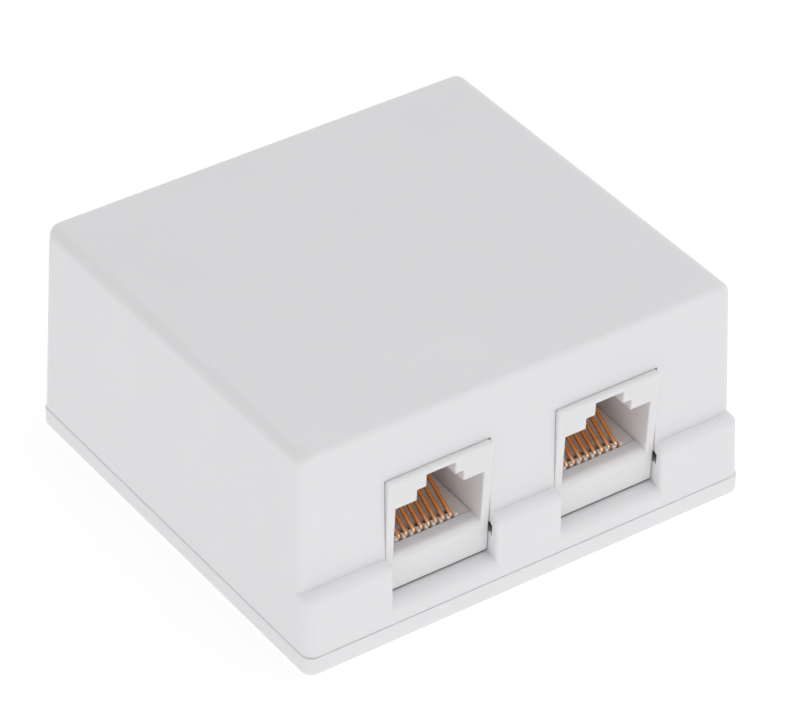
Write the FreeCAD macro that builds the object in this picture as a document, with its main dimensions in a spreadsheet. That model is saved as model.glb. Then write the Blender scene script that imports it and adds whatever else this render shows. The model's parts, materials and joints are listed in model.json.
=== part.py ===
import FreeCAD, Part
import os
import math
import Sketcher
import PartDesign
from FreeCAD import Vector, Placement, Rotation

# Two-port surface mount jack box.
# Frame: origin at the middle of the footprint, on the surface the box stands
# on; +Z up, -Y is the front (the side with the two ports), +X to the right.
# The port modules lean: they share a local frame with its origin at the foot
# of the module face, local Y into the module and local Z up its face.

doc = FreeCAD.newDocument("SurfaceMountJackBox")
sheet = doc.addObject("Spreadsheet::Sheet", "dims")

DIMS = [
    # outer form
    ("cover_width", 60.0, "cover width at the seam"),
    ("cover_back", 28.075, "rear face of the cover at the seam, from the origin"),
    ("front_wall", 26.425, "front wall plane at the seam, from the origin"),
    ("ledge_reach", 1.6, "how far the front ledge stands out of the wall plane"),
    ("ledge_top", 10.5, "height of the ledge's top"),
    ("ledge_round", 0.9, "radius along the ledge's top edge"),
    ("gate_round", 0.6, "radius down the ledge's cut ends"),
    ("ledge_wall", 1.25, "thickness of the ledge's front"),
    ("ledge_roof", 1.3, "thickness of the ledge's top"),
    ("box_height", 28.28, "overall height"),
    ("draft_rate", 0.0349, "front and rear wall draft, mm inward for each mm of height"),
    ("side_draft", 0.032, "side wall draft, mm inward for each mm of height"),
    ("corner_radius", 1.5, "vertical outer corners"),
    ("crown_front", 0.6, "rounding along the top's front edge"),
    ("crown_side", 1.65, "rounding along the top's side edges"),
    ("crown_back", 0.9, "rounding along the top's rear edge"),
    ("wall_thick", 1.6, "side and rear walls"),
    ("front_thick", 1.7, "front wall"),
    ("roof_thick", 1.8, "top wall"),
    # seam and base
    ("seam_low", 2.42, "top of the base flange"),
    ("seam_high", 2.46, "lower edge of the cover"),
    ("base_width", 60.16, "base plate"),
    ("base_depth", 56.24, "base plate"),
    ("base_under", 0.1, "underside of the base plate"),
    ("rim_high", 4.2, "top of the locating rim"),
    ("rim_thick", 1.1, "locating rim"),
    ("rim_gap", 0.3, "rim to cover wall"),
    # windows
    ("port_offset", 11.5, "port centre from the middle of the box"),
    ("window_width", 14.2, "window for one port"),
    ("gate_width", 13.9, "width of the cut through the ledge"),
    ("window_top", 21.05, "upper edge of a window"),
    ("sill_top", 4.95, "top of the sill under a port"),
    ("sill_round", 1.1, "rounding along the sill's front"),
    # rear cable notch
    ("notch_half", 4.2, "half width of the rear cable notch"),
    ("notch_top", 8.6, "top of the rear cable notch"),
    # port module
    ("module_front", 25.892, "foot of the module face, from the origin"),
    ("module_rise", 5.068, "foot of the module face above the surface"),
    ("module_lean", 2.7, "lean of the module, degrees"),
    ("face_half", 7.0, "half width of the module face"),
    ("face_tall", 15.85, "height of the module face"),
    ("face_deep", 1.4, "depth of the face rim"),
    ("shell_half", 6.8, "half width of the module shell"),
    ("shell_low", 0.35, "underside of the shell"),
    ("shell_tall", 15.3, "top of the shell"),
    ("shell_deep", 16.5, "length of the shell"),
    ("plug_half", 5.92, "half width of the plug opening"),
    ("plug_floor", 5.04, "floor of the plug opening"),
    ("plug_shoulder", 12.04, "top of the main plug opening"),
    ("step_half", 3.12, "half width of the first latch step"),
    ("step_top", 13.52, "top of the first latch step"),
    ("latch_half", 1.93, "half width of the latch notch"),
    ("latch_top", 15.18, "top of the latch notch"),
    ("plug_deep", 13.5, "depth of the plug opening"),
    ("hollow_half", 6.0, "half width of the space under the floor"),
    # contacts
    ("wire_dia", 0.5, "contact wire"),
    ("wire_pitch", 1.0, "contact wire spacing"),
    ("wire_run", 4.29, "height of the wire's lower run"),
    ("wire_bend", 0.5, "radius of the front bend"),
    ("wire_nose", 3.0, "centre of the front bend from the face"),
    ("wire_slope", 28.1, "slope of the spring length, degrees"),
    ("wire_length", 12.0, "length of the spring length"),
    ("tail_near", 8.0, "near row of wire tails"),
    ("tail_far", 10.6, "far row of wire tails"),
    ("tail_low", -0.35, "lower end of the tails"),
    ("slot_wide", 0.62, "slot for one wire"),
    ("insert_front", 2.1, "front of the contact carrier from the face"),
    ("comb_top", 5.3, "top of the ribs between the front bends"),
    # board
    ("board_half", 5.85, "half width of the circuit board"),
    ("board_front", 5.0, "front edge of the circuit board"),
    ("board_back", 32.4, "rear edge of the circuit board"),
    ("board_low", 0.35, "underside of the circuit board"),
    ("board_high", 1.55, "top of the circuit board"),
    # punch-down block
    ("idc_front", 17.6, "front of the block"),
    ("idc_deep", 13.4, "length of the block"),
    ("idc_half", 6.8, "half width of the block"),
    ("idc_channel", 3.4, "half width of the channel between the rows"),
    ("idc_floor", 4.5, "floor of the channel"),
    ("idc_tall", 11.0, "top of the rows"),
    ("idc_first", 19.65, "first wire slot"),
    ("idc_pitch", 3.1, "wire slot spacing"),
    ("idc_slot", 0.9, "wire slot width"),
    ("blade_x", 5.0, "blade row from the module's middle"),
    ("blade_thick", 0.45, "blade thickness"),
    ("blade_half", 1.15, "half width of a blade"),
    ("blade_tall", 10.3, "top of a blade"),
    # caps
    ("cap_low", 9.3, "lower edge of a cap"),
    ("cap_high", 12.4, "top of a cap"),
    ("cap_gap", 0.15, "cap to row"),
    ("cap_wall", 0.65, "cap wall"),
    # screw slots
    ("slot_offset", 23.4, "screw slot from the middle of the box"),
    ("slot_y", 6.0, "screw slots behind the middle of the box"),
    ("slot_radius", 2.0, "half width of a screw slot"),
    ("slot_length", 7.0, "length of a screw slot"),
    # strips
    ("strip_long", 50.0, "adhesive strip"),
    ("strip_wide", 8.0, "adhesive strip"),
    ("strip_thick", 0.8, "adhesive strip"),
]
for row, (alias, value, note) in enumerate(DIMS, start=1):
    sheet.set("A%d" % row, alias)
    sheet.set("B%d" % row, str(value))
    sheet.set("C%d" % row, note)
    sheet.setAlias("B%d" % row, alias)
doc.recompute()


class Dim:
    """A length that carries its number and its spreadsheet expression."""

    def __init__(self, number, text):
        self.number = float(number)
        self.text = text

    def __add__(self, other):
        o = as_dim(other)
        return Dim(self.number + o.number, "(%s + %s)" % (self.text, o.text))

    def __radd__(self, other):
        return as_dim(other) + self

    def __sub__(self, other):
        o = as_dim(other)
        return Dim(self.number - o.number, "(%s - %s)" % (self.text, o.text))

    def __rsub__(self, other):
        return as_dim(other) - self

    def __mul__(self, other):
        o = as_dim(other)
        return Dim(self.number * o.number, "(%s * %s)" % (self.text, o.text))

    def __rmul__(self, other):
        return self * other

    def __truediv__(self, other):
        o = as_dim(other)
        return Dim(self.number / o.number, "(%s / %s)" % (self.text, o.text))

    def __neg__(self):
        return Dim(-self.number, "(0 - %s)" % self.text)


def as_dim(value):
    if isinstance(value, Dim):
        return value
    return Dim(value, "%.6f" % value if value >= 0 else "(0 - %.6f)" % -value)


def d(alias):
    return Dim(sheet.get(alias), "dims." + alias)


def n(alias):
    return float(sheet.get(alias))


def new_body(label, compound=False):
    body = doc.addObject("PartDesign::Body", label)
    body.Label = label
    if compound:
        body.AllowCompound = True
    return body


def sketch_on(body, name, plane, offset=0.0):
    sk = body.newObject("Sketcher::SketchObject", name)
    ref = [f for f in body.Origin.OriginFeatures if f.Role == plane][0]
    sk.AttachmentSupport = [(ref, "")]
    sk.MapMode = "FlatFace"
    off = as_dim(offset)
    if off.number != 0.0 or isinstance(offset, Dim):
        sk.setExpression("AttachmentOffset.Base.z", off.text)
    return sk


def pin_point(sk, geo, pos, px, py):
    """Hold one sketch point at two bound coordinates."""
    for kind, value in (("DistanceX", px), ("DistanceY", py)):
        v = as_dim(value)
        c = sk.addConstraint(Sketcher.Constraint(kind, -1, 1, geo, pos, v.number))
        if isinstance(value, Dim):
            sk.setExpression("Constraints[%d]" % c, v.text)


def polygon(sk, points):
    base = sk.GeometryCount
    count = len(points)
    pts = [(as_dim(a).number, as_dim(b).number) for a, b in points]
    for i in range(count):
        a, b = pts[i], pts[(i + 1) % count]
        sk.addGeometry(Part.LineSegment(Vector(a[0], a[1], 0), Vector(b[0], b[1], 0)), False)
    for i in range(count):
        sk.addConstraint(Sketcher.Constraint("Coincident", base + i, 2, base + (i + 1) % count, 1))
    for i in range(count):
        pin_point(sk, base + i, 1, points[i][0], points[i][1])


def rectangle(sk, x0, y0, x1, y1):
    polygon(sk, [(x0, y0), (x1, y0), (x1, y1), (x0, y1)])


def circle(sk, cx, cy, dia):
    g = sk.addGeometry(Part.Circle(Vector(as_dim(cx).number, as_dim(cy).number, 0),
                                   Vector(0, 0, 1), as_dim(dia).number / 2.0), False)
    pin_point(sk, g, 3, cx, cy)
    c = sk.addConstraint(Sketcher.Constraint("Diameter", g, as_dim(dia).number))
    if isinstance(dia, Dim):
        sk.setExpression("Constraints[%d]" % c, dia.text)
    return g


def bind(obj, prop, value):
    v = as_dim(value)
    if isinstance(value, Dim):
        obj.setExpression(prop, v.text)
    else:
        setattr(obj, prop, v.number)


def solid_feature(body, kind, name, sk, length=None, reverse=False, through=False, both=False):
    f = body.newObject(kind, name)
    f.Profile = sk
    if both:
        f.SideType = "Symmetric"
    if through:
        f.Type = "ThroughAll"
    else:
        bind(f, "Length", length)
    f.Reversed = reverse
    sk.Visibility = False
    doc.recompute()
    return f


def pad(body, name, sk, length, reverse=False, both=False):
    before = body.Shape.Volume if body.Shape and not body.Shape.isNull() else 0.0
    f = solid_feature(body, "PartDesign::Pad", name, sk, length, reverse, False, both)
    grown(body, name, before, +1)
    return f


def pocket(body, name, sk, length=None, reverse=False, through=False, both=False):
    before = body.Shape.Volume
    f = solid_feature(body, "PartDesign::Pocket", name, sk, length, reverse, through, both)
    grown(body, name, before, -1)
    return f


def grown(body, name, before, sign):
    change = (body.Shape.Volume - before) * sign
    if change <= 1e-6:
        raise RuntimeError("%s left the volume of %s unchanged (%.4f)" % (name, body.Label, change))


def pick_edges(shape, test):
    names = []
    for i, e in enumerate(shape.Edges, start=1):
        if test(e):
            names.append("Edge%d" % i)
    return names


def fillet(body, name, radius, test):
    base = body.Tip
    names = pick_edges(base.Shape, test)
    if not names:
        raise RuntimeError("no edge for " + name)
    f = body.newObject("PartDesign::Fillet", name)
    f.Base = (base, names)
    bind(f, "Radius", radius)
    doc.recompute()
    if "Invalid" in f.State or "Error" in f.State or f.Shape.isNull() or not f.Shape.isValid():
        raise RuntimeError("fillet %s failed on %d edges" % (name, len(names)))
    return f


def chamfer(body, name, size, test):
    base = body.Tip
    names = pick_edges(base.Shape, test)
    if not names:
        raise RuntimeError("no edge for " + name)
    f = body.newObject("PartDesign::Chamfer", name)
    f.Base = (base, names)
    bind(f, "Size", size)
    doc.recompute()
    if "Invalid" in f.State or f.Shape.isNull() or not f.Shape.isValid():
        raise RuntimeError("chamfer %s failed" % name)
    return f


def row_of(body, name, feature, axis, length, count):
    """Repeat one feature in a line; the pattern becomes the body's tip."""
    before = body.Shape.Volume
    p = body.newObject("PartDesign::LinearPattern", name)
    p.Originals = feature if isinstance(feature, list) else [feature]
    ref = [f for f in body.Origin.OriginFeatures if f.Role == axis][0]
    p.Direction = (ref, [""])
    bind(p, "Length", length)
    p.Occurrences = count
    body.Tip = p
    doc.recompute()
    if abs(body.Shape.Volume - before) < 1e-6:
        raise RuntimeError("pattern %s changed nothing" % name)
    return p


def mid(e):
    return e.valueAt((e.FirstParameter + e.LastParameter) / 2.0)


def span(e):
    return e.BoundBox


def vertical(e, least=2.0):
    b = e.BoundBox
    return b.ZLength > least and b.XLength < 0.12 * b.ZLength and b.YLength < 0.12 * b.ZLength


outputs = []

# ---------------------------------------------------------------- cover
half_w = d("cover_width") / 2

# every outer and inner wall leans in by the same draft
def drafted_block(label, hw, yf, yb, z0, z1, front_draft=True, back_draft=True):
    """A block with plane faces whose walls lean in towards the top."""
    body = new_body(label)
    rate = d("draft_rate")
    inward = (z1 - z0) * rate
    sideways = (z1 - z0) * d("side_draft")
    sk = sketch_on(body, label + "_section", "XZ_Plane", -yf)
    polygon(sk, [(-hw, z0), (hw, z0), (hw - sideways, z1), (-hw + sideways, z1)])
    pad(body, label + "_prism", sk, yb - yf, reverse=True)
    for wanted, tag, y, sign in ((front_draft, "front", yf, 1.0), (back_draft, "back", yb, -1.0)):
        if not wanted:
            continue
        sk = sketch_on(body, label + "_lean_" + tag, "YZ_Plane")
        polygon(sk, [(y - rate * sign, z0 - 1.0), (y + (inward + rate) * sign, z1 + 1.0),
                     (y - 2.0 * sign, z1 + 1.0), (y - 2.0 * sign, z0 - 1.0)])
        pocket(body, label + "_trim_" + tag, sk, 200.0, both=True)
    return body


# the ledge: a low block across the front, cut down to a sill at each port,
# rounded along its top and round the cut ends; its sides share the drafted
# side planes of the cover
front_y = -(n("front_wall") + n("ledge_reach"))
ledge = drafted_block("ledge_block", half_w, -d("front_wall") - d("ledge_reach"), -d("front_wall") + 6.0,
                      d("seam_high"), d("ledge_top"), True, False)
sk = sketch_on(ledge, "GatePlan", "XZ_Plane")
for side in (-1, 1):
    cx = d("port_offset") * side
    rectangle(sk, cx - d("gate_width") / 2, d("sill_top"), cx + d("gate_width") / 2, d("ledge_top") + 2.0)
pocket(ledge, "Gates", sk, 60.0, reverse=True)
fillet(ledge, "LedgeCorners", d("corner_radius"),
       lambda e: vertical(e) and mid(e).y < front_y + 0.6 and abs(mid(e).x) > 25.0)
fillet(ledge, "SillRound", d("sill_round"),
       lambda e: abs(mid(e).z - n("sill_top")) < 0.01 and abs(mid(e).y - front_y) < 0.3
       and span(e).XLength > 5.0)
fillet(ledge, "LedgeRound", d("ledge_round"),
       lambda e: span(e).ZMin > n("ledge_top") - 0.01 and mid(e).y < front_y + 1.0
       and span(e).XLength > 3.0)
fillet(ledge, "GateEnds", d("gate_round"),
       lambda e: vertical(e) and abs(mid(e).y - front_y) < 0.6 and abs(mid(e).x) < 25.0)

# the shell: front, rear and side roundings of the crown differ, and meet at the corners
shell = drafted_block("shell_block", half_w, -d("front_wall"), d("cover_back"), d("seam_high"), d("box_height"))
crown = doc.addObject("Part::Fillet", "CoverCrown")
crown.Base = shell
rounding = []
for i, e in enumerate(shell.Shape.Edges, start=1):
    b = span(e)
    if vertical(e, 10.0):
        r = n("corner_radius")
    elif b.ZMin < n("box_height") - 0.01:
        continue
    elif b.YLength > b.XLength:
        r = n("crown_side")
    else:
        r = n("crown_front") if mid(e).y < 0 else n("crown_back")
    rounding.append((i, r, r))
crown.Edges = rounding
doc.recompute()
if len(rounding) != 8 or crown.Shape.isNull() or not crown.Shape.isValid():
    raise RuntimeError("crown failed")
shell.Visibility = False
crown.Visibility = False
cover = new_body("cover")
cover.BaseFeature = crown
doc.recompute()
join = cover.newObject("PartDesign::Boolean", "LedgeJoin")
join.setObjects([ledge])
join.Type = "Fuse"
doc.recompute()

fillet(cover, "LowerEdge", 0.08, lambda e: span(e).ZMax < n("seam_high") + 0.01)

# hollow from below
in_w = half_w - d("wall_thick")
in_f = d("front_wall") - d("front_thick")
in_b = d("cover_back") - d("wall_thick")
hollow_top = d("box_height") - d("roof_thick")
core = drafted_block("hollow_core", in_w, -in_f, in_b, d("seam_high"), hollow_top)
sk = sketch_on(core, "hollow_foot", "XY_Plane", d("seam_high") + 0.01)
rectangle(sk, -in_w, -in_f, in_w, in_b)
pad(core, "hollow_mouth", sk, 2.0, reverse=True)
fillet(core, "hollow_corners", 0.6, lambda e: vertical(e, 10.0))
vol = cover.Shape.Volume
cut = cover.newObject("PartDesign::Boolean", "HollowCut")
cut.setObjects([core])
cut.Type = "Cut"
doc.recompute()
grown(cover, "HollowCut", vol, -1)

# two windows, cut through the front wall down to the sills
sk = sketch_on(cover, "WindowCut", "XZ_Plane", d("front_wall") + 0.1)
for side in (-1, 1):
    cx = d("port_offset") * side
    rectangle(sk, cx - d("window_width") / 2, d("sill_top"), cx + d("window_width") / 2, d("window_top"))
pocket(cover, "Windows", sk, 12.0)

# the sills are relieved behind, so that they pass the jack lips as the cover tips
for side, tag in ((-1, "L"), (1, "R")):
    sk = sketch_on(cover, "SillReliefSection" + tag, "YZ_Plane",
                   d("port_offset") * side - d("window_width") / 2)
    polygon(sk, [(-in_f - 0.95, d("sill_top") + 0.25), (-in_f + 0.4, d("sill_top") + 0.25),
                 (-in_f + 0.4, d("sill_top") - 2.45), (-in_f, d("sill_top") - 1.65)])
    pocket(cover, "SillRelief" + tag, sk, d("window_width"), reverse=True)

# the ledge is hollow behind its front, apart from the sills; beside a port the
# hollow is closed by an end wall that stops short of the ledge's roof
gate_out = d("port_offset") + d("gate_width") / 2
gate_in = d("port_offset") - d("gate_width") / 2
hy = -d("front_wall") - d("ledge_reach") + d("ledge_wall")
sk = sketch_on(cover, "LedgeHollowPlan", "XY_Plane", d("seam_high") - 1.0)
for xa, xb in ((-in_w, -gate_out - 0.95), (-gate_in + 0.95, gate_in - 0.95), (gate_out + 0.95, in_w)):
    rectangle(sk, xa, hy, xb, -in_f + 0.3)
pocket(cover, "LedgeHollow", sk, d("ledge_top") - d("ledge_roof") - d("seam_high") + 1.15, reverse=True)
sk = sketch_on(cover, "EndSlotPlan", "XY_Plane", 7.9)
for xa, xb in ((-gate_out - 1.2, -gate_out), (-gate_in, -gate_in + 1.2),
               (gate_in - 1.2, gate_in), (gate_out, gate_out + 1.2)):
    rectangle(sk, xa, hy, xb, -in_f + 0.3)
pocket(cover, "EndSlots", sk, d("ledge_top") - d("ledge_roof") - 7.9 + 0.15, reverse=True)

# rear notch for the cable
sk = sketch_on(cover, "NotchCut", "XZ_Plane")
rectangle(sk, -d("notch_half"), d("seam_high") - 1.0, d("notch_half"), d("notch_top"))
pocket(cover, "CableNotch", sk, 45.0)
fillet(cover, "NotchCorners", 1.6,
       lambda e: abs(mid(e).z - n("notch_top")) < 0.01 and span(e).YLength > 1.0
       and span(e).XLength < 0.05 and abs(abs(mid(e).x) - n("notch_half")) < 0.05)

# two shallow pry notches in the rear lower edge
sk = sketch_on(cover, "PryCut", "XZ_Plane", -d("cover_back") + 0.9)
for side in (-1, 1):
    rectangle(sk, 20.0 * side - 3.0, d("seam_high") - 1.0, 20.0 * side + 3.0, d("seam_high") + 0.9)
pocket(cover, "PryNotches", sk, 3.0)

# catch ridges inside the rear wall
for side, tag in ((-1, "L"), (1, "R")):
    sk = sketch_on(cover, "RidgeProfile" + tag, "YZ_Plane", 20.0 * side - 3.0)
    polygon(sk, [(in_b + 0.5, 5.1), (in_b - 0.45, 5.5), (in_b - 0.45, 6.2), (in_b + 0.5, 7.0)])
    pad(cover, "CatchRidge" + tag, sk, 6.0)

# corner posts that stand on the base rim and stiffen the shell
sk = sketch_on(cover, "CornerPostPlan", "XY_Plane", d("rim_high") + 0.1)
for sx in (-1, 1):
    for yo, yi in ((-in_f - 0.4, -in_f + 2.6), (in_b + 0.4, in_b - 2.6)):
        cut = 1.3 if sx > 0 else -1.3
        up = 1.3 if yi.number > yo.number else -1.3
        xo, xi = (in_w + 0.4) * sx, (in_w - 2.6) * sx
        polygon(sk, [(xi, yi), (xi, yo), (xo - cut, yo), (xo, yo + up), (xo, yi)])
pad(cover, "CornerPosts", sk, hollow_top - d("rim_high"))
outputs.append(cover)

# ---------------------------------------------------------------- base plate
base = new_body("base_plate")
sk = sketch_on(base, "PlatePlan", "XY_Plane", d("base_under"))
rectangle(sk, -d("base_width") / 2, -d("base_depth") / 2, d("base_width") / 2, d("base_depth") / 2)
pad(base, "Plate", sk, d("seam_low") - d("base_under"))
fillet(base, "PlateCorners", d("corner_radius") - 0.2, lambda e: vertical(e, 1.5))
fillet(base, "PlateUnder", 0.2, lambda e: span(e).ZMax < n("base_under") + 0.01)
fillet(base, "PlateUpper", 0.08, lambda e: span(e).ZMin > n("seam_low") - 0.01)

rim_w = in_w - d("rim_gap")
rim_f = in_f - 0.25
rim_b = in_b - d("rim_gap")
sk = sketch_on(base, "RimPlan", "XY_Plane", d("seam_low") - 0.3)
rectangle(sk, -rim_w, -rim_f, rim_w, rim_b)
rectangle(sk, -rim_w + d("rim_thick"), -rim_f + d("rim_thick"), rim_w - d("rim_thick"), rim_b - d("rim_thick"))
pad(base, "Rim", sk, d("rim_high") - d("seam_low") + 0.3)
# the rim is left out where the cable crosses it
sk = sketch_on(base, "RimGapPlan", "XY_Plane", d("seam_low"))
rectangle(sk, -d("notch_half") - 0.6, rim_b - 2.0, d("notch_half") + 0.6, rim_b + 0.8)
pocket(base, "RimGap", sk, 6.0, reverse=True)

lean = math.radians(n("module_lean"))
COS, SIN = math.cos(lean), math.sin(lean)


def world(yl, zl):
    """Module coordinates to box coordinates, as bound expressions."""
    a = as_dim(yl)
    b = as_dim(zl)
    c = Dim(COS, "cos(dims.module_lean * 1deg)")
    s = Dim(SIN, "sin(dims.module_lean * 1deg)")
    return (-d("module_front") + a * c - b * s, d("module_rise") + a * s + b * c)


for side, tag in ((-1, "L"), (1, "R")):
    cx = d("port_offset") * side
    # cheeks either side of the module shell, each with a window for its lug
    for cheek, mark in ((-1, "A"), (1, "B")):
        x0 = cx - 8.15 if cheek < 0 else cx + 6.95
        sk = sketch_on(base, "Cheek%s%s" % (tag, mark), "YZ_Plane", x0)
        polygon(sk, [(-22.4, d("seam_low") - 0.3), (-9.6, d("seam_low") - 0.3), (-9.6, 11.2),
                     (-11.6, 13.6), (-21.6, 13.6), (-22.4, 12.8)])
        pad(base, "CheekPad%s%s" % (tag, mark), sk, 1.2)
        sk = sketch_on(base, "LugWindow%s%s" % (tag, mark), "YZ_Plane", x0 - 0.1)
        ya, za = world(7.5, 5.8)
        rectangle(sk, ya - 2.0, za - 1.1, ya + 2.0, za + 1.1)
        pocket(base, "LugWindowCut%s%s" % (tag, mark), sk, 1.4, reverse=True)
        # rails that carry the board's edge and the shell's side wall
        x1 = cx - 6.7 if cheek < 0 else cx + 5.5
        sk = sketch_on(base, "Rail%s%s" % (tag, mark), "YZ_Plane", x1)
        y0, z0 = world(5.4, d("board_low"))
        y1, z1 = world(31.6, d("board_low"))
        polygon(sk, [(y0, d("seam_low") - 0.3), (y1, d("seam_low") - 0.3), (y1, z1), (y0, z0)])
        pad(base, "RailPad%s%s" % (tag, mark), sk, 1.2)
    # rear stop with a nose over the board's edge
    sk = sketch_on(base, "Stop" + tag, "YZ_Plane", cx - 3.0)
    yb, zb = world(d("board_back") + 0.1, d("board_high"))
    polygon(sk, [(yb, d("seam_low") - 0.3), (yb + 1.3, d("seam_low") - 0.3), (yb + 1.3, zb + 1.3),
                 (yb + 0.2, zb + 1.9), (yb - 0.7, zb + 0.7), (yb - 0.7, zb + 0.15), (yb, zb + 0.15)])
    pad(base, "StopPad" + tag, sk, 6.0)

# snap posts behind the rear rim
for side, tag in ((-1, "L"), (1, "R")):
    sk = sketch_on(base, "SnapPost" + tag, "YZ_Plane", 20.0 * side - 3.0)
    polygon(sk, [(rim_b - 1.75, d("seam_low") - 0.3), (rim_b - 0.85, d("seam_low") - 0.3), (rim_b - 0.85, 6.8),
                 (rim_b - 0.45, 7.3), (rim_b - 0.45, 7.7), (rim_b - 0.85, 8.6), (rim_b - 1.75, 8.6)])
    pad(base, "SnapPostPad" + tag, sk, 6.0)

# saddle with a tunnel for a cable tie, between the cable hole and the notch
sk = sketch_on(base, "SaddlePlan", "XY_Plane", d("seam_low") - 0.3)
rectangle(sk, -3.6, 19.0, 3.6, 22.6)
pad(base, "Saddle", sk, 2.8)
sk = sketch_on(base, "TunnelProfile", "YZ_Plane", -4.0)
rectangle(sk, 19.9, d("seam_low"), 21.7, d("seam_low") + 1.4)
pocket(base, "TieTunnel", sk, 8.0, reverse=True)

# holes: cable hole in the floor, two screw slots in a line
sk = sketch_on(base, "CableHolePlan", "XY_Plane")
rectangle(sk, -6.0, 9.2, 6.0, 17.2)
pocket(base, "CableHole", sk, 12.0, reverse=True)
fillet(base, "CableHoleCorners", 1.5,
       lambda e: vertical(e, 1.5) and abs(abs(mid(e).x) - 6.0) < 0.01 and 9.0 < mid(e).y < 17.4)
half_run = d("slot_length") / 2 - d("slot_radius")
sk = sketch_on(base, "ScrewSlotPlan", "XY_Plane")
for side in (-1, 1):
    rectangle(sk, d("slot_offset") * side - half_run, d("slot_y") - d("slot_radius"),
              d("slot_offset") * side + half_run, d("slot_y") + d("slot_radius"))
pocket(base, "ScrewSlots", sk, 12.0, reverse=True)
for end in (-1, 1):
    sk = sketch_on(base, "ScrewSlotEnd%d" % (end + 1), "XY_Plane")
    for side in (-1, 1):
        circle(sk, d("slot_offset") * side + half_run * end, d("slot_y"), d("slot_radius") * 2)
    pocket(base, "ScrewSlotEnds%d" % (end + 1), sk, 12.0, reverse=True)

# recesses under the plate for the adhesive strips
STRIPS = (-14.0, 22.4)
sk = sketch_on(base, "StripRecessPlan", "XY_Plane")
for yc in STRIPS:
    rectangle(sk, -d("strip_long") / 2 - 0.2, yc - d("strip_wide") / 2 - 0.2,
              d("strip_long") / 2 + 0.2, yc + d("strip_wide") / 2 + 0.2)
pocket(base, "StripRecess", sk, d("strip_thick") + 0.001, reverse=True)
outputs.append(base)

# ---------------------------------------------------------------- strips
strips = new_body("adhesive_strips", compound=True)
sk = sketch_on(strips, "StripPlan", "XY_Plane")
for yc in STRIPS:
    rectangle(sk, -d("strip_long") / 2, yc - d("strip_wide") / 2, d("strip_long") / 2, yc + d("strip_wide") / 2)
pad(strips, "Strips", sk, d("strip_thick"))
outputs.append(strips)


# ---------------------------------------------------------------- port module
def module_place(side):
    return Placement(Vector(n("port_offset") * side, -n("module_front"), n("module_rise")),
                     Rotation(Vector(1, 0, 0), n("module_lean")))


def seat(body, side):
    """Put a module piece in the box and bind the seat to the sheet."""
    body.Placement = module_place(side)
    body.setExpression("Placement.Base.x", (d("port_offset") * side).text)
    body.setExpression("Placement.Base.y", (-d("module_front")).text)
    body.setExpression("Placement.Base.z", d("module_rise").text)
    outputs.append(body)


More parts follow.
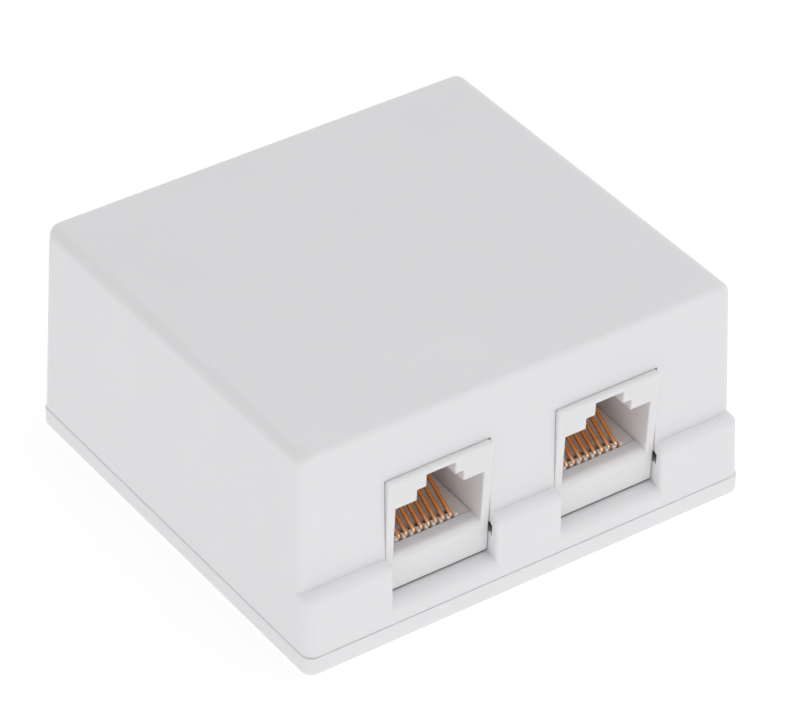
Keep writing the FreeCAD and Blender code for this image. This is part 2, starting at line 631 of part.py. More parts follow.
def make_housing(tag):
    b = new_body("jack_housing_" + tag)
    sk = sketch_on(b, "FacePlan_" + tag, "XZ_Plane")
    rectangle(sk, -d("face_half"), 0.0, d("face_half"), d("face_tall"))
    pad(b, "Face_" + tag, sk, d("face_deep"), reverse=True)
    # the face's lower edge is well rounded so that the sill can pass under it
    fillet(b, "LipRound_" + tag, 0.6,
           lambda e: (abs(mid(e).y) < 0.001 and abs(mid(e).z) < 0.01 and span(e).XLength > 5)
           or (span(e).YLength > 0.2 and span(e).ZLength < 0.01 and span(e).XLength < 0.01 and mid(e).z < 0.1))
    fillet(b, "FaceHeadCorners_" + tag, 0.4,
           lambda e: span(e).YLength > 1.0 and mid(e).z > n("face_tall") - 0.1)
    fillet(b, "FaceEdges_" + tag, 0.2,
           lambda e: abs(mid(e).y) < 0.001 and span(e).YLength < 0.001 and mid(e).z > 1.3
           and max(span(e).XLength, span(e).ZLength) > 3)
    sk = sketch_on(b, "ShellPlan_" + tag, "XZ_Plane", -d("face_deep") / 2)
    rectangle(sk, -d("shell_half"), d("shell_low"), d("shell_half"), d("shell_tall"))
    pad(b, "Shell_" + tag, sk, d("shell_deep") - d("face_deep") / 2, reverse=True)
    # plug opening with its stepped latch notch
    sk = sketch_on(b, "PlugMain_" + tag, "XZ_Plane")
    rectangle(sk, -d("plug_half"), d("plug_floor"), d("plug_half"), d("plug_shoulder"))
    pocket(b, "PlugOpening_" + tag, sk, d("shell_deep") + 1.0)
    sk = sketch_on(b, "LatchPlan_" + tag, "XZ_Plane")
    polygon(sk, [(-d("step_half"), d("plug_shoulder") - 1.0), (d("step_half"), d("plug_shoulder") - 1.0),
                 (d("step_half"), d("step_top")), (d("latch_half"), d("step_top")),
                 (d("latch_half"), d("latch_top")), (-d("latch_half"), d("latch_top")),
                 (-d("latch_half"), d("step_top")), (-d("step_half"), d("step_top"))])
    pocket(b, "LatchNotch_" + tag, sk, 11.5)
    # behind the front strip the floor is left open for the contact carrier,
    # with space for the board under it
    sk = sketch_on(b, "Under_" + tag, "XZ_Plane", -d("insert_front") + 0.1)
    rectangle(sk, -d("hollow_half"), -1.0, d("hollow_half"), d("plug_floor") - 0.3)
    pocket(b, "UnderSpace_" + tag, sk, d("shell_deep"))
    sk = sketch_on(b, "FloorSlot_" + tag, "XZ_Plane", -d("insert_front") + 0.1)
    rectangle(sk, -d("plug_half"), 3.4, d("plug_half"), d("plug_floor") + 0.6)
    pocket(b, "FloorSlotCut_" + tag, sk, d("shell_deep"))
    # lead-in round along the floor, and softer edges round the rest of the opening
    def mouth(e):
        return (abs(mid(e).y) < 0.001 and span(e).YLength < 0.001 and abs(mid(e).x) < 6.0
                and n("plug_floor") - 0.1 < mid(e).z < n("latch_top") + 0.1)
    fillet(b, "LeadIn_" + tag, 1.0, lambda e: mouth(e) and abs(mid(e).z - n("plug_floor")) < 0.01)
    fillet(b, "MouthEdges_" + tag, 0.25, lambda e: mouth(e) and mid(e).z > n("plug_floor") + 0.1)
    sk = sketch_on(b, "RearSeat_" + tag, "XZ_Plane", -d("plug_deep"))
    rectangle(sk, -d("hollow_half"), -1.0, d("hollow_half"), 14.5)
    pocket(b, "RearSeatCut_" + tag, sk, 6.0)
    # lugs on both sides that snap into the cradle cheeks
    for s in (-1, 1):
        sk = sketch_on(b, "Lug_%s_%d" % (tag, s + 1), "YZ_Plane", d("shell_half") * s - (0.2 * s))
        rectangle(sk, 6.3, 5.1, 8.7, 6.5)
        pad(b, "LugPad_%s_%d" % (tag, s + 1), sk, 0.75, reverse=(s < 0))
    return b


def make_carrier(tag):
    b = new_body("contact_carrier_" + tag)
    sk = sketch_on(b, "Block_" + tag, "XZ_Plane", -d("insert_front"))
    polygon(sk, [(-4.25, 1.6), (4.25, 1.6), (4.25, 4.0), (d("plug_half") - 0.08, 4.0),
                 (d("plug_half") - 0.08, d("plug_floor") - 0.05), (-d("plug_half") + 0.08, d("plug_floor") - 0.05),
                 (-d("plug_half") + 0.08, 4.0), (-4.25, 4.0)])
    pad(b, "BlockPad_" + tag, sk, 11.8, reverse=True)
    sk = sketch_on(b, "Wall_" + tag, "XZ_Plane", -d("plug_deep") - 0.1)
    rectangle(sk, -5.85, 1.6, 5.85, 14.3)
    pad(b, "WallPad_" + tag, sk, 2.3, reverse=True)
    # ribs that stand between the front bends
    sk = sketch_on(b, "CombBar_" + tag, "YZ_Plane")
    y0 = d("insert_front")
    polygon(sk, [(y0, d("plug_floor") - 0.3), (y0 + 0.75, d("plug_floor") - 0.3), (y0 + 0.75, d("comb_top") - 0.1),
                 (y0 + 0.65, d("comb_top")), (y0 + 0.16, d("comb_top")), (y0, d("comb_top") - 0.16)])
    pad(b, "CombBarPad_" + tag, sk, 8.5, both=True)
    first = -3.5 * d("wire_pitch")
    low = d("wire_run") - 0.28
    roof = d("wire_run") + 0.31
    # one slot: open round the front bend, a tunnel for the lower run, and a well for the tail
    for k, (start, tail) in enumerate(((first, d("tail_near")), (first + d("wire_pitch"), d("tail_far")))):
        sk = sketch_on(b, "Slot%d_%s" % (k, tag), "YZ_Plane", start - d("slot_wide") / 2)
        polygon(sk, [(1.5, low), (tail - 0.4, low), (tail - 0.4, 1.0), (tail + 0.4, 1.0),
                     (tail + 0.4, roof), (3.7, roof), (3.7, 6.0), (1.5, 6.0)])
        p = pocket(b, "SlotCut%d_%s" % (k, tag), sk, d("slot_wide"), reverse=True)
        row_of(b, "SlotRow%d_%s" % (k, tag), p, "X_Axis", 6.0 * d("wire_pitch"), 4)
    # comb in the rear wall that guides the free ends
    sk = sketch_on(b, "Comb_" + tag, "YZ_Plane", first - d("slot_wide") / 2)
    rectangle(sk, d("plug_deep") - 0.5, 5.9, d("plug_deep") + 1.1, 11.6)
    p = pocket(b, "CombCut_" + tag, sk, d("slot_wide"), reverse=True)
    row_of(b, "CombRow_" + tag, p, "X_Axis", 7.0 * d("wire_pitch"), 8)
    return b


def make_wires(label, first, tail):
    """Four spring wires of one shape: tail, lower run, front bend, spring length."""
    b = new_body(label, compound=True)
    slope = math.radians(n("wire_slope"))
    r1, r2 = 0.5, n("wire_bend")
    z_run, y_nose, y_tail = n("wire_run"), n("wire_nose"), as_dim(tail).number
    low = n("tail_low")
    end = (y_nose - r2 * math.sin(slope), z_run + r2 + r2 * math.cos(slope))
    tip = (end[0] + n("wire_length") * math.cos(slope), end[1] + n("wire_length") * math.sin(slope))
    path = sketch_on(b, label + "_path", "YZ_Plane", first)
    path.addGeometry(Part.LineSegment(Vector(y_tail, low, 0), Vector(y_tail, z_run - r1, 0)), False)
    path.addGeometry(Part.ArcOfCircle(Part.Circle(Vector(y_tail - r1, z_run - r1, 0), Vector(0, 0, 1), r1),
                                      0.0, math.pi / 2), False)
    path.addGeometry(Part.LineSegment(Vector(y_tail - r1, z_run, 0), Vector(y_nose, z_run, 0)), False)
    path.addGeometry(Part.ArcOfCircle(Part.Circle(Vector(y_nose, z_run + r2, 0), Vector(0, 0, 1), r2),
                                      math.pi / 2 + slope, 3 * math.pi / 2), False)
    path.addGeometry(Part.LineSegment(Vector(end[0], end[1], 0), Vector(tip[0], tip[1], 0)), False)
    path.addConstraint(Sketcher.Constraint("Coincident", 0, 2, 1, 1))
    path.addConstraint(Sketcher.Constraint("Coincident", 1, 2, 2, 1))
    path.addConstraint(Sketcher.Constraint("Coincident", 2, 2, 3, 2))
    path.addConstraint(Sketcher.Constraint("Coincident", 3, 1, 4, 1))
    for i in range(5):
        path.addConstraint(Sketcher.Constraint("Block", i))
    ring = sketch_on(b, label + "_ring", "XY_Plane", d("tail_low"))
    circle(ring, first, tail, d("wire_dia"))
    f = b.newObject("PartDesign::AdditivePipe", label + "_sweep")
    f.Profile = ring
    f.Spine = path
    f.Transition = "Transformed"
    doc.recompute()
    row_of(b, label + "_row", f, "X_Axis", 6.0 * d("wire_pitch"), 4)
    return b


def make_board(tag):
    b = new_body("jack_board_" + tag)
    sk = sketch_on(b, "BoardPlan_" + tag, "XY_Plane", d("board_low"))
    rectangle(sk, -d("board_half"), d("board_front"), d("board_half"), d("board_back"))
    pad(b, "BoardPad_" + tag, sk, d("board_high") - d("board_low"))
    first = -3.5 * d("wire_pitch")
    for k, (start, tail) in enumerate(((first, d("tail_near")), (first + d("wire_pitch"), d("tail_far")))):
        sk = sketch_on(b, "WireHole%d_%s" % (k, tag), "XY_Plane")
        circle(sk, start, tail, 0.66)
        p = pocket(b, "WireHoleCut%d_%s" % (k, tag), sk, 4.0, reverse=True)
        row_of(b, "WireHoleRow%d_%s" % (k, tag), p, "X_Axis", 6.0 * d("wire_pitch"), 4)
    for s in (-1, 1):
        sk = sketch_on(b, "BladeHole%d_%s" % (s + 1, tag), "XY_Plane")
        circle(sk, d("blade_x") * s, d("idc_first"), 0.95)
        p = pocket(b, "BladeHoleCut%d_%s" % (s + 1, tag), sk, 4.0, reverse=True)
        row_of(b, "BladeHoleRow%d_%s" % (s + 1, tag), p, "Y_Axis", 3.0 * d("idc_pitch"), 4)
    return b


def make_idc_block(tag):
    b = new_body("idc_block_" + tag)
    sk = sketch_on(b, "IdcSection_" + tag, "XZ_Plane", -d("idc_front"))
    ih, ic = d("idc_half"), d("idc_channel")
    lo, fl, hi = d("board_high") + 0.05, d("idc_floor"), d("idc_tall")
    polygon(sk, [(-ih, lo), (ih, lo), (ih, hi), (ic, hi), (ic, fl), (-ic, fl), (-ic, hi), (-ih, hi)])
    pad(b, "IdcBody_" + tag, sk, d("idc_deep"), reverse=True)
    chamfer(b, "IdcTopEdges_" + tag, 0.45,
            lambda e: abs(mid(e).z - n("idc_tall")) < 0.01 and span(e).YLength > 5.0)
    # slots for the wires, across both rows
    sk = sketch_on(b, "IdcSlot_" + tag, "YZ_Plane")
    rectangle(sk, d("idc_first") - d("idc_slot") / 2, 6.2, d("idc_first") + d("idc_slot") / 2, hi + 1.0)
    p = pocket(b, "IdcSlotCut_" + tag, sk, 20.0, both=True)
    row_of(b, "IdcSlotRow_" + tag, p, "Y_Axis", 3.0 * d("idc_pitch"), 4)
    # wells for the blades
    sk = sketch_on(b, "IdcWell_" + tag, "XY_Plane")
    for s in (-1, 1):
        bx = d("blade_x") * s
        rectangle(sk, bx - 0.32, d("idc_first") - d("blade_half") - 0.1,
                  bx + 0.32, d("idc_first") + d("blade_half") + 0.1)
    p = pocket(b, "IdcWellCut_" + tag, sk, 20.0, reverse=True)
    row_of(b, "IdcWellRow_" + tag, p, "Y_Axis", 3.0 * d("idc_pitch"), 4)
    return b


def make_blades(tag):
    """Eight slotted blades with round-ended forks and a square pin below."""
    b = new_body("idc_blades_" + tag, compound=True)
    feats = []
    for s in (-1, 1):
        sk = sketch_on(b, "BladeOutline%d_%s" % (s + 1, tag), "YZ_Plane",
                       d("blade_x") * s - d("blade_thick") / 2)
        y, h, t = d("idc_first"), d("blade_half"), d("blade_tall")
        polygon(sk, [(y - 0.3, d("tail_low")), (y + 0.3, d("tail_low")), (y + 0.3, 1.9), (y + h, 2.3),
                     (y + h, t), (y + 0.55, t), (y + 0.17, t - 0.9), (y + 0.17, 5.4), (y - 0.17, 5.4),
                     (y - 0.17, t - 0.9), (y - 0.55, t), (y - h, t), (y - h, 2.3), (y - 0.3, 1.9)])
        feats.append(pad(b, "Blade%d_%s" % (s + 1, tag), sk, d("blade_thick")))
    row_of(b, "BladeRow_" + tag, feats, "Y_Axis", 3.0 * d("idc_pitch"), 4)
    return b


def make_cap(label, s):
    b = new_body(label)
    xi0 = d("idc_channel") - d("cap_gap")
    xi1 = d("idc_half") + d("cap_gap")
    y0 = d("idc_front") - 0.1
    y1 = d("idc_front") + d("idc_deep") + 0.1
    w = d("cap_wall")
    sk = sketch_on(b, label + "_plan", "XY_Plane", d("cap_low"))
    xa, xb = (xi0 - w, xi1 + w) if s > 0 else (-xi1 - w, -xi0 + w)
    rectangle(sk, xa, y0 - 0.55, xb, y1 + 0.55)
    pad(b, label + "_block", sk, d("cap_high") - d("cap_low"))
    fillet(b, label + "_corners", 0.6, lambda e: vertical(e, 2.0))
    fillet(b, label + "_crown", 0.4, lambda e: span(e).ZMin > n("cap_high") - 0.01)
    sk = sketch_on(b, label + "_cavity", "XY_Plane", d("cap_low") - 1.0)
    xc, xd = (xi0, xi1) if s > 0 else (-xi1, -xi0)
    rectangle(sk, xc, y0, xd, y1)
    pocket(b, label + "_hollow", sk, d("idc_tall") + 0.2 - d("cap_low") + 1.0, reverse=True)
    # fingers that press the wires down, either side of each blade
    sk = sketch_on(b, label + "_fingers", "XY_Plane", 8.4)
    for fa, fb in ((3.55, 4.5), (5.5, 6.65)):
        xa, xb = (fa, fb) if s > 0 else (-fb, -fa)
        rectangle(sk, xa, d("idc_first") - 0.3, xb, d("idc_first") + 0.3)
    p = pad(b, label + "_finger", sk, 3.2)
    row_of(b, label + "_finger_row", p, "Y_Axis", 3.0 * d("idc_pitch"), 4)
    return b


first_wire = -3.5 * d("wire_pitch")
for side, tag in ((-1, "left"), (1, "right")):
    seat(make_housing(tag), side)
    seat(make_carrier(tag), side)
    seat(make_wires("short_contacts_" + tag, first_wire, d("tail_near")), side)
    seat(make_wires("long_contacts_" + tag, first_wire + d("wire_pitch"), d("tail_far")), side)
    seat(make_board(tag), side)
    seat(make_idc_block(tag), side)
    seat(make_blades(tag), side)
    seat(make_cap("idc_cap_%s_outer" % tag, side), side)
    seat(make_cap("idc_cap_%s_inner" % tag, -side), side)

doc.recompute()

# ---------------------------------------------------------------- checks and export
bad = [o.Name for o in doc.Objects if "Invalid" in o.State or "Error" in o.State]
if bad:
    raise RuntimeError("failed objects: " + ", ".join(bad))
for o in outputs:
    if o.Shape.isNull() or not o.Shape.isValid() or not o.Shape.Solids:
        raise RuntimeError("bad shape: " + o.Label)

os.makedirs("parts", exist_ok=True)
for o in outputs:
    o.Shape.exportStep(os.path.join("parts", o.Label + ".step"))
    bb = o.Shape.BoundBox
    print("%-24s solids %2d vol %8.2f  x %.2f..%.2f  y %.2f..%.2f  z %.2f..%.2f" % (
        o.Label, len(o.Shape.Solids), o.Shape.Volume, bb.XMin, bb.XMax, bb.YMin, bb.YMax, bb.ZMin, bb.ZMax))
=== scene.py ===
import bpy
import bmesh
import json
import math
from mathutils import Matrix, Vector


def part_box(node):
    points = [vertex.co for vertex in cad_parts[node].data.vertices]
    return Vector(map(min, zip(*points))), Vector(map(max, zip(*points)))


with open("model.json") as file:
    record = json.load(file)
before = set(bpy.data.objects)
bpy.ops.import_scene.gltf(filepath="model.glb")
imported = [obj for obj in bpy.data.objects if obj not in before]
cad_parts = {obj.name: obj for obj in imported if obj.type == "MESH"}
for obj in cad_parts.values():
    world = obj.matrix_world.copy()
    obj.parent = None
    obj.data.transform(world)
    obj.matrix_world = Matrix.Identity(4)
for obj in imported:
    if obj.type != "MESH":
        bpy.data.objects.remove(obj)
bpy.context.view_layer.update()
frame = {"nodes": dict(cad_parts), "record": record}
nodes = frame["nodes"]


MM = 0.001


# ------------------------------------------------------------------ node helpers
class Mat:
    """A small wrapper that keeps the node code short."""

    def __init__(self, name):
        self.m = bpy.data.materials.new(name)
        self.m.use_nodes = True
        self.t = self.m.node_tree
        self.t.nodes.clear()
        self.out = self.add("ShaderNodeOutputMaterial")
        self.b = self.add("ShaderNodeBsdfPrincipled")
        self.link(self.b, "BSDF", self.out, "Surface")
        self.co = self.add("ShaderNodeTexCoord")

    def add(self, kind, **props):
        n = self.t.nodes.new(kind)
        for k, v in props.items():
            setattr(n, k, v)
        return n

    def link(self, a, out, b, inp):
        self.t.links.new(a.outputs[out], b.inputs[inp])

    def set(self, **values):
        for k, v in values.items():
            self.b.inputs[k.replace("_", " ")].default_value = v

    def noise(self, scale, detail=3.0, rough=0.55, stretch=None, offset=None):
        n = self.add("ShaderNodeTexNoise")
        n.inputs["Scale"].default_value = scale
        n.inputs["Detail"].default_value = detail
        n.inputs["Roughness"].default_value = rough
        if stretch or offset:
            mp = self.add("ShaderNodeMapping")
            if stretch:
                mp.inputs["Scale"].default_value = stretch
            if offset:
                mp.inputs["Location"].default_value = offset
            self.link(self.co, "Object", mp, "Vector")
            self.link(mp, "Vector", n, "Vector")
        else:
            self.link(self.co, "Object", n, "Vector")
        return n

    def voronoi(self, scale, feature="F1", stretch=None):
        n = self.add("ShaderNodeTexVoronoi", feature=feature)
        n.inputs["Scale"].default_value = scale
        if stretch:
            mp = self.add("ShaderNodeMapping")
            mp.inputs["Scale"].default_value = stretch
            self.link(self.co, "Object", mp, "Vector")
            self.link(mp, "Vector", n, "Vector")
        else:
            self.link(self.co, "Object", n, "Vector")
        return n

    def remap(self, src, sock, lo, hi, to_lo, to_hi):
        r = self.add("ShaderNodeMapRange")
        r.inputs["From Min"].default_value = lo
        r.inputs["From Max"].default_value = hi
        r.inputs["To Min"].default_value = to_lo
        r.inputs["To Max"].default_value = to_hi
        self.link(src, sock, r, "Value")
        return r

    def ramp(self, src, sock, stops):
        r = self.add("ShaderNodeValToRGB")
        el = r.color_ramp.elements
        while len(el) > 1:
            el.remove(el[-1])
        el[0].position, el[0].color = stops[0][0], stops[0][1]
        for p, c in stops[1:]:
            e = el.new(p)
            e.color = c
        self.link(src, sock, r, "Fac")
        return r

    def mix(self, fac, a, b, blend="MIX"):
        """Colour mix; fac, a and b are numbers, colours or (node, socket)."""
        m = self.add("ShaderNodeMix", data_type="RGBA", blend_type=blend)
        for i, v in ((0, fac), (6, a), (7, b)):
            if isinstance(v, tuple) and hasattr(v[0], "outputs"):
                self.t.links.new(v[0].outputs[v[1]], m.inputs[i])
            else:
                m.inputs[i].default_value = v
        return m

    def math(self, op, a, b=None, clamp=False):
        m = self.add("ShaderNodeMath", operation=op, use_clamp=clamp)
        for i, v in ((0, a), (1, b)):
            if v is None:
                continue
            if isinstance(v, tuple):
                self.t.links.new(v[0].outputs[v[1]], m.inputs[i])
            else:
                m.inputs[i].default_value = v
        return m

    def bump(self, src, sock, height, strength=1.0, prev=None):
        b = self.add("ShaderNodeBump")
        b.inputs["Strength"].default_value = strength
        b.inputs["Distance"].default_value = height
        self.link(src, sock, b, "Height")
        if prev is not None:
            self.link(prev, "Normal", b, "Normal")
        return b


def col(r, g, b, a=1.0):
    return (r, g, b, a)


def shade(c, k):
    return (c[0] * k, c[1] * k, c[2] * k, 1.0)


def plastic(name, base, rough=(0.42, 0.52), grain=0.0000035, grain_scale=5200.0, wave=0.000012,
            coat=0.0, sss=0.06, mottle=0.012, ior=1.53):
    """Moulded plastic: a fine sparked texture, a faint sink waviness, a slightly cloudy tint."""
    m = Mat(name)
    big = m.noise(70.0, 2.0, 0.5)
    fine = m.noise(900.0, 4.0, 0.6)
    tint = m.mix((m.remap(big, "Fac", 0.3, 0.7, 0.0, 1.0), "Result"), shade(base, 1.0 - mottle), shade(base, 1.0 + mottle * 0.5))
    speck = m.mix((m.remap(fine, "Fac", 0.35, 0.75, 0.0, 0.5), "Result"), (tint, 2), shade(base, 1.0 - mottle))
    m.link(speck, 2, m.b, "Base Color")
    r = m.remap(m.noise(240.0, 3.0, 0.6), "Fac", 0.3, 0.7, rough[0], rough[1])
    m.link(r, "Result", m.b, "Roughness")
    g = m.noise(grain_scale, 2.0, 0.65)
    w = m.noise(55.0, 1.0, 0.4)
    b1 = m.bump(w, "Fac", wave, 0.35)
    b2 = m.bump(g, "Fac", grain, 0.8, b1)
    m.link(b2, "Normal", m.b, "Normal")
    m.set(IOR=ior)
    if sss:
        m.b.inputs["Subsurface Weight"].default_value = sss
        m.b.inputs["Subsurface Radius"].default_value = (0.9, 0.85, 0.75)
        m.b.inputs["Subsurface Scale"].default_value = 0.0006
    if coat:
        m.b.inputs["Coat Weight"].default_value = coat
        m.b.inputs["Coat Roughness"].default_value = 0.25
    return m.m


def gold_wire():
    """Spring wire: coppery streaks along the run; over the front bend the colour is painted paler as a painted
    highlight.
    """
    m = Mat("gold_wire")
    streak = m.noise(1800.0, 3.0, 0.6, stretch=(1.0, 0.08, 0.08))
    tone = m.ramp(streak, "Fac", [(0.25, col(0.76, 0.235, 0.045)), (0.55, col(0.94, 0.36, 0.085)), (0.8, col(1.0, 0.49, 0.16))])
    # paler tone for the front bend: a painted highlight, not a different metal
    painted_highlight_tone = m.ramp(streak, "Fac", [(0.25, col(0.96, 0.52, 0.25)), (0.7, col(1.0, 0.72, 0.46))])
    split = m.add("ShaderNodeSeparateXYZ")
    m.link(m.co, "Object", split, "Vector")
    # mask that keeps the painted highlight on the front bend and fades it out behind
    nose_highlight_mask = m.remap(split, "Y", NOSE - 0.0001, NOSE + 0.0014, 1.0, 0.0)
    tone_with_painted_highlight = m.mix((nose_highlight_mask, "Result"), (tone, "Color"), (painted_highlight_tone, "Color"))
    m.link(tone_with_painted_highlight, 2, m.b, "Base Color")
    r = m.remap(m.noise(2600.0, 2.0, 0.6, stretch=(1.0, 0.1, 0.1)), "Fac", 0.3, 0.7, 0.15, 0.27)
    m.link(r, "Result", m.b, "Roughness")
    b = m.bump(streak, "Fac", 0.000002, 0.5)
    m.link(b, "Normal", m.b, "Normal")
    m.set(Metallic=1.0)
    m.b.inputs["Coat Weight"].default_value = 0.3
    m.b.inputs["Coat Roughness"].default_value = 0.1
    return m.m


def tinned():
    m = Mat("tinned_bronze")
    n = m.noise(1500.0, 4.0, 0.6)
    tone = m.ramp(n, "Fac", [(0.3, col(0.55, 0.54, 0.52)), (0.7, col(0.76, 0.75, 0.73))])
    m.link(tone, "Color", m.b, "Base Color")
    r = m.remap(n, "Fac", 0.3, 0.7, 0.28, 0.42)
    m.link(r, "Result", m.b, "Roughness")
    b = m.bump(m.noise(3200.0, 3.0, 0.6, stretch=(1.0, 1.0, 0.12)), "Fac", 0.000003, 0.5)
    m.link(b, "Normal", m.b, "Normal")
    m.set(Metallic=1.0)
    return m.m


def board():
    """Solder mask over copper: traces run as faint raised bands over a fine grain."""
    m = Mat("circuit_board")
    sep = m.add("ShaderNodeSeparateXYZ")
    m.link(m.co, "Object", sep, "Vector")
    # parallel traces along Y, 1 mm apart, bending a little
    warp = m.noise(90.0, 1.0, 0.4, stretch=(0.4, 1.0, 0.4))
    shift = m.math("MULTIPLY", (warp, "Fac"), 0.0011)
    xx = m.math("ADD", (sep, "X"), (shift, "Value"))
    scaled = m.math("MULTIPLY", (xx, "Value"), 1000.0)
    saw = m.math("FRACT", (scaled, "Value"))
    tri = m.math("PINGPONG", (saw, "Value"), 0.5)
    trace = m.remap(tri, "Value", 0.16, 0.20, 1.0, 0.0)
    n = m.noise(400.0, 3.0, 0.6)
    mask = m.mix((n, "Fac"), col(0.030, 0.165, 0.070), col(0.045, 0.205, 0.090))
    lit = m.mix((trace, "Result"), (mask, 2), col(0.075, 0.300, 0.120))
    m.link(lit, 2, m.b, "Base Color")
    r = m.remap(n, "Fac", 0.3, 0.7, 0.24, 0.38)
    m.link(r, "Result", m.b, "Roughness")
    b1 = m.bump(trace, "Result", 0.00003, 0.7)
    b2 = m.bump(m.noise(2500.0, 2.0, 0.5), "Fac", 0.000004, 0.5, b1)
    m.link(b2, "Normal", m.b, "Normal")
    m.set(IOR=1.5)
    return m.m


def clear_cap():
    m = Mat("cap_clear")
    n = m.noise(160.0, 3.0, 0.55)
    tone = m.mix((n, "Fac"), col(0.80, 0.83, 0.86), col(0.88, 0.90, 0.92))
    m.link(tone, 2, m.b, "Base Color")
    r = m.remap(m.noise(420.0, 3.0, 0.6), "Fac", 0.3, 0.7, 0.16, 0.30)
    m.link(r, "Result", m.b, "Roughness")
    b = m.bump(m.noise(130.0, 2.0, 0.5), "Fac", 0.00003, 0.35)
    m.link(b, "Normal", m.b, "Normal")
    m.b.inputs["Transmission Weight"].default_value = 0.55
    m.b.inputs["Subsurface Weight"].default_value = 0.25
    m.b.inputs["Subsurface Radius"].default_value = (1.0, 1.0, 1.0)
    m.b.inputs["Subsurface Scale"].default_value = 0.001
    m.set(IOR=1.49)
    return m.m


def foam():
    m = Mat("adhesive_foam")
    cells = m.voronoi(3300.0, "F1")
    n = m.noise(260.0, 3.0, 0.6)
    tone = m.mix((n, "Fac"), col(0.76, 0.76, 0.73), col(0.86, 0.86, 0.84))
    dark = m.remap(cells, "Distance", 0.0, 0.6, 0.0, 0.35)
    mixed = m.mix((dark, "Result"), (tone, 2), col(0.60, 0.60, 0.57))
    m.link(mixed, 2, m.b, "Base Color")
    r = m.remap(n, "Fac", 0.3, 0.7, 0.7, 0.85)
    m.link(r, "Result", m.b, "Roughness")
    b = m.bump(cells, "Distance", 0.00006, 0.8)
    m.link(b, "Normal", m.b, "Normal")
    return m.m


WHITE = (0.874, 0.863, 0.878)
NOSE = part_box("long_contacts_left")[0][1]
M = {
    "housing_white": plastic("housing_white", WHITE, rough=(0.46, 0.56), sss=0.40),
    "jack_white": plastic("jack_white", (0.866, 0.855, 0.862), rough=(0.34, 0.44), grain=0.0000018, sss=0.40),
    # the carrier's darker, warmer white is painted shade for the deep inside of the jack
    "carrier_white": plastic("carrier_white", (0.83, 0.79, 0.77), rough=(0.38, 0.5), grain=0.0000015, sss=0.30),
    "contact_gold": gold_wire(),
    "circuit_board": board(),
    "tinned_bronze": tinned(),
    "cap_clear": clear_cap(),
    "adhesive_foam": foam(),
}
slot_of = {s["node"]: s.get("material_slot", s["node"]) for s in frame["record"]["subparts"]}
for name, ob in nodes.items():
    mat = M[slot_of[name]]
    ob.data.materials.clear()
    ob.data.materials.append(mat)


# ------------------------------------------------------------------ stage, light, camera
def plane(name, size, z, mat):
    me = bpy.data.meshes.new(name)
    s = size / 2
    me.from_pydata([(-s, -s, z), (s, -s, z), (s, s, z), (-s, s, z)], [], [(0, 1, 2, 3)])
    ob = bpy.data.objects.new(name, me)
    bpy.context.scene.collection.objects.link(ob)
    me.materials.append(mat)
    return ob


fm = Mat("floor_pale")
fn = fm.noise(14.0, 3.0, 0.5)
ft = fm.mix((fn, "Fac"), col(0.49, 0.49, 0.49), col(0.51, 0.51, 0.51))
fm.link(ft, 2, fm.b, "Base Color")
fm.set(Roughness=0.9)
fm.b.inputs["Emission Color"].default_value = (1.0, 1.0, 1.0, 1.0)
fm.b.inputs["Emission Strength"].default_value = 0.62
floor = plane("floor", 3.0, -0.00002, fm.m)

# a bright tent all round, darker high up behind the left side and low in front
world = bpy.data.worlds.new("studio")
world.use_nodes = True
wt = world.node_tree
bg = wt.nodes["Background"]
wco = wt.nodes.new("ShaderNodeTexCoord")


def wmath(op, a, b):
    m = wt.nodes.new("ShaderNodeMath")
    m.operation = op
    for i, v in ((0, a), (1, b)):
        if isinstance(v, (int, float)):
            m.inputs[i].default_value = v
        else:
            wt.links.new(v, m.inputs[i])
    return m.outputs[0]


def lobe(direction, power, depth):
    dot = wt.nodes.new("ShaderNodeVectorMath")
    dot.operation = "DOT_PRODUCT"
    dot.inputs[1].default_value = Vector(direction).normalized()
    wt.links.new(wco.outputs["Generated"], dot.inputs[0])
    up = wmath("MAXIMUM", dot.outputs["Value"], 0.0)
    return wmath("MULTIPLY", wmath("POWER", up, power), depth)


level = wmath("SUBTRACT", 0.805, lobe((-0.60, 0.65, 0.46), 3.0, 0.40))
level = wmath("SUBTRACT", level, lobe((0.10, -1.0, 0.20), 2.0, 0.28))
wt.links.new(level, bg.inputs["Strength"])
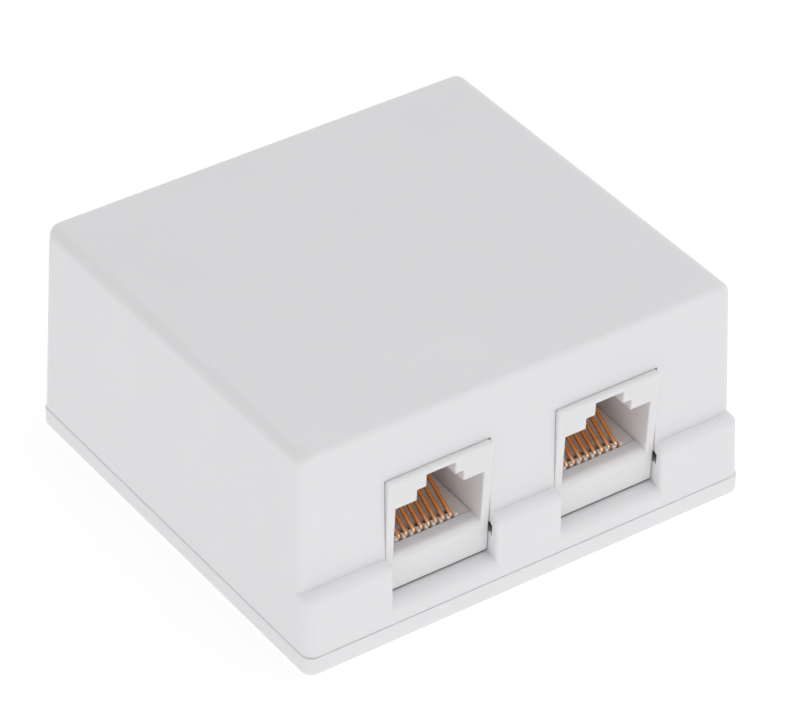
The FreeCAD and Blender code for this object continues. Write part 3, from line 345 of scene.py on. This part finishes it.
# the tent is a touch cooler overhead than at the sides
height = lobe((0.0, 0.0, 1.0), 1.0, 1.0)
tint = wt.nodes.new("ShaderNodeMix")
tint.data_type = "RGBA"
wt.links.new(height, tint.inputs[0])
tint.inputs[6].default_value = (0.988, 0.968, 0.990, 1.0)
tint.inputs[7].default_value = (1.033, 1.054, 1.054, 1.0)
wt.links.new(tint.outputs[2], bg.inputs["Color"])
bpy.context.scene.world = world


def area(name, loc, target, size, power, colour=(1, 1, 1)):
    li = bpy.data.lights.new(name, "AREA")
    li.shape = "RECTANGLE"
    li.size, li.size_y = size
    li.energy = power
    li.color = colour
    ob = bpy.data.objects.new(name, li)
    bpy.context.scene.collection.objects.link(ob)
    ob.location = loc
    ob.rotation_euler = (Vector(target) - Vector(loc)).to_track_quat("-Z", "Y").to_euler()
    return ob


area("key_soft", (-0.12, -0.50, 0.30), (0, 0, 0.012), (0.14, 0.14), 0.16)
area("top_soft", (0.10, -0.08, 0.60), (0, 0, 0.012), (0.30, 0.30), 0.23)
# a small panel that only shows in polished metal
glint = area("glint", (0.20, -0.36, 0.32), (0, -0.023, 0.006), (0.08, 0.08), 0.24)
glint.visible_diffuse = False
glint.visible_camera = False

AZ, EL, ROLL = math.radians(35.301), math.radians(36.701), math.radians(0.936)
CAM = Vector((-0.23629, -0.334565, 0.31926))
fwd = Vector((math.cos(EL) * math.sin(AZ), math.cos(EL) * math.cos(AZ), -math.sin(EL)))
r0 = Vector((math.cos(AZ), -math.sin(AZ), 0.0))
u0 = r0.cross(fwd)
right = r0 * math.cos(ROLL) + u0 * math.sin(ROLL)
up = u0 * math.cos(ROLL) - r0 * math.sin(ROLL)
cam_data = bpy.data.cameras.new("camera")
cam_data.sensor_fit = "HORIZONTAL"
cam_data.sensor_width = 36.0
cam_data.lens = 4445.13 / 787.0 * 36.0
cam_data.clip_start = 0.01
cam = bpy.data.objects.new("camera", cam_data)
bpy.context.scene.collection.objects.link(cam)
rot = Matrix((right, up, -fwd)).transposed()
cam.matrix_world = Matrix.Translation(CAM) @ rot.to_4x4()
bpy.context.scene.camera = cam

vs = bpy.context.scene.view_settings
vs.view_transform = "Standard"
vs.look = "None"
vs.exposure = 0.0
vs.gamma = 1.0
